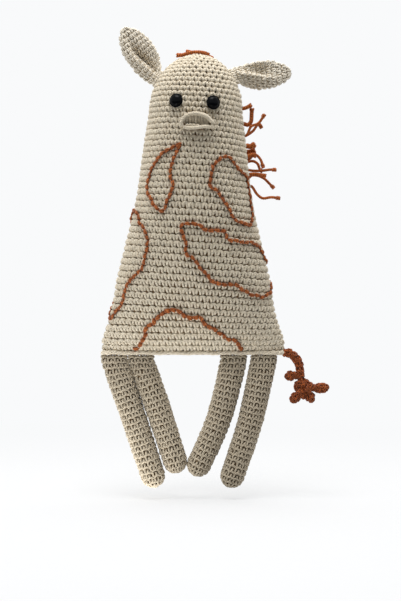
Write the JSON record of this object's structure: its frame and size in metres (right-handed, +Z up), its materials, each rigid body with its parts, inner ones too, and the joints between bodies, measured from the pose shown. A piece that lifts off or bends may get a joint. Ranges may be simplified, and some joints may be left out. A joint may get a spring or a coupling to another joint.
{
  "type": "crochet giraffe soft toy",
  "caption": "Stuffed giraffe in cream single crochet with a conical body and head, hanging stuffed legs, cupped ears, safety eyes, yarn mane, curled tail and chained patch outlines.",
  "frame": {"origin": "middle of the flat on the back, at the widest depth of the chest, where the toy rests when it is held upright", "axes": "+Z up from the feet to the ears, -Y the way the face looks, +X the side of the mane and tail"},
  "size_m": [0.1707, 0.0678, 0.344],
  "materials": {
    "cream_yarn": "cotton yarn in single crochet",
    "leg_yarn": "cotton yarn in tighter single crochet",
    "rust_yarn": "twisted cotton yarn, chained and knotted",
    "eye_plastic": "polished black",
    "washer_plastic": "moulded natural white",
    "fibre_fill": "loose polyester fibre"
  },
  "bodies": {
    "body": {"body_cover": "cream_yarn", "body_stuffing": "fibre_fill", "bottom_seam": "cream_yarn", "muzzle": "cream_yarn", "left_eye": "eye_plastic", "right_eye": "eye_plastic", "left_eye_washer": "washer_plastic", "right_eye_washer": "washer_plastic", "crescent_patch_outline": "rust_yarn", "shoulder_patch_outline": "rust_yarn", "flank_patch_outline": "rust_yarn", "chest_patch_outline": "rust_yarn", "hem_patch_arch": "rust_yarn", "mane_strand_1": "rust_yarn", "mane_strand_2": "rust_yarn", "mane_strand_3": "rust_yarn", "mane_strand_4": "rust_yarn", "mane_strand_5": "rust_yarn", "mane_strand_6": "rust_yarn", "mane_strand_7": "rust_yarn", "mane_strand_8": "rust_yarn", "mane_strand_9": "rust_yarn", "mane_strand_10": "rust_yarn", "mane_strand_11": "rust_yarn", "mane_strand_12": "rust_yarn", "mane_strand_13": "rust_yarn", "mane_strand_14": "rust_yarn", "mane_strand_15": "rust_yarn", "mane_strand_16": "rust_yarn", "mane_strand_17": "rust_yarn", "mane_strand_18": "rust_yarn", "mane_strand_19": "rust_yarn"},
    "front_leg_outer": {"front_leg_outer_cover": "leg_yarn", "front_leg_outer_stuffing": "fibre_fill"},
    "front_leg_inner": {"front_leg_inner_cover": "leg_yarn", "front_leg_inner_stuffing": "fibre_fill"},
    "hind_leg_inner": {"hind_leg_inner_cover": "leg_yarn", "hind_leg_inner_stuffing": "fibre_fill"},
    "hind_leg_outer": {"hind_leg_outer_cover": "leg_yarn", "hind_leg_outer_stuffing": "fibre_fill"},
    "left_ear": {"left_ear": "cream_yarn"},
    "right_ear": {"right_ear": "cream_yarn"},
    "tail": {"tail_cord": "rust_yarn", "tail_knot": "rust_yarn", "tail_curl_side": "rust_yarn", "tail_curl_outer": "rust_yarn", "tail_curl_inner": "rust_yarn", "tail_curl_lower": "rust_yarn"}
  },
  "joints": [
    {"name": "front_leg_outer_swing", "type": "hinge", "parent": "body", "child": "front_leg_outer", "pos_m": [-0.059, -0.031, -0.1176], "axis": [-1, 0, 0], "range_deg": [-70, 80]},
    {"name": "front_leg_inner_swing", "type": "hinge", "parent": "body", "child": "front_leg_inner", "pos_m": [-0.039, -0.031, -0.1176], "axis": [-1, 0, 0], "range_deg": [-70, 80]},
    {"name": "hind_leg_inner_swing", "type": "hinge", "parent": "body", "child": "hind_leg_inner", "pos_m": [0.0305, -0.031, -0.1176], "axis": [-1, 0, 0], "range_deg": [-70, 80]},
    {"name": "hind_leg_outer_swing", "type": "hinge", "parent": "body", "child": "hind_leg_outer", "pos_m": [0.053, -0.031, -0.1176], "axis": [-1, 0, 0], "range_deg": [-70, 80]},
    {"name": "left_ear_fold", "type": "hinge", "parent": "body", "child": "left_ear", "pos_m": [-0.02854, -0.031, 0.094], "axis": [0.5218, 0, 0.853], "range_deg": [-55, 60], "stiffness_Nm_per_rad": 0.005},
    {"name": "right_ear_fold", "type": "hinge", "parent": "body", "child": "right_ear", "pos_m": [0.0336, -0.031, 0.094], "axis": [0.49, 0, -0.8717], "range_deg": [-55, 60], "stiffness_Nm_per_rad": 0.005},
    {"name": "tail_swing", "type": "hinge", "parent": "body", "child": "tail", "pos_m": [0.06955, -0.031, -0.1118], "axis": [-1, 0, 0], "range_deg": [-80, 80]}
  ]
}
